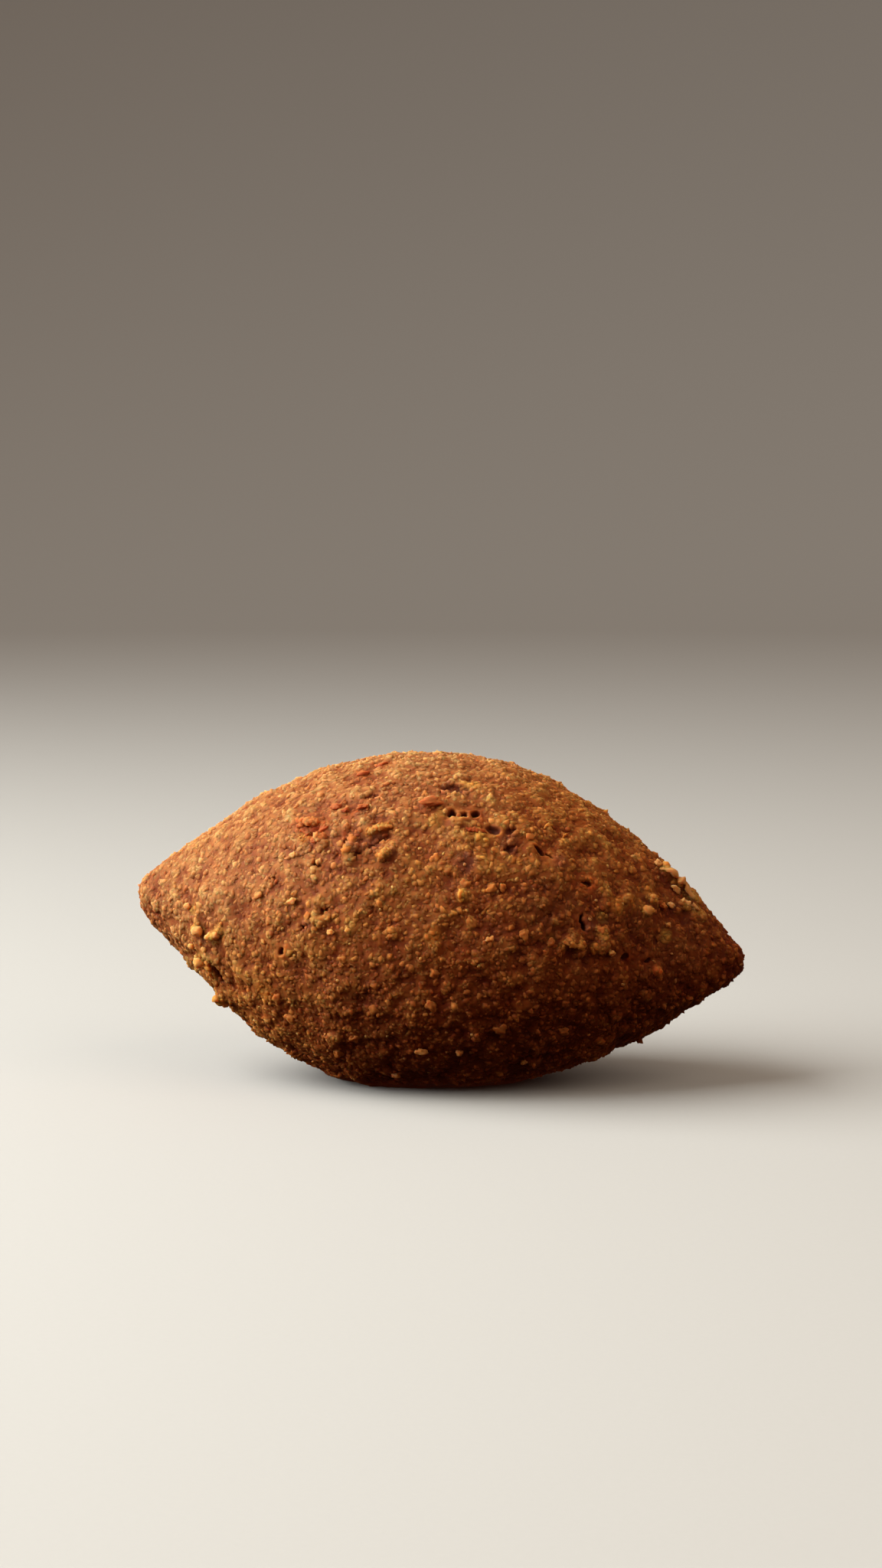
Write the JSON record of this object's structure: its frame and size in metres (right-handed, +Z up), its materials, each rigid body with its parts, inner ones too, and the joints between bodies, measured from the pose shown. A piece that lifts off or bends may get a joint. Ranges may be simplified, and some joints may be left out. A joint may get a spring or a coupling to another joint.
{
  "type": "meat kibbeh",
  "caption": "Whole deep-fried meat kibbeh: a pointed oval with a grainy browned crust, resting on its belly.",
  "frame": {"origin": "middle of the flat resting spot under the belly, on the surface that the kibbeh lies on", "axes": "+Z up; +X towards the lower of the two tips; -Y towards the side that the picture shows"},
  "size_m": [0.0999, 0.0571, 0.0539],
  "materials": {
    "fried_crust": "deep-fried crust of minced meat and fine bulgur, golden to reddish brown, grainy, with a dry sheen of oil"
  },
  "bodies": {
    "root": {"kibbeh": "fried_crust"}
  },
  "joints": []
}
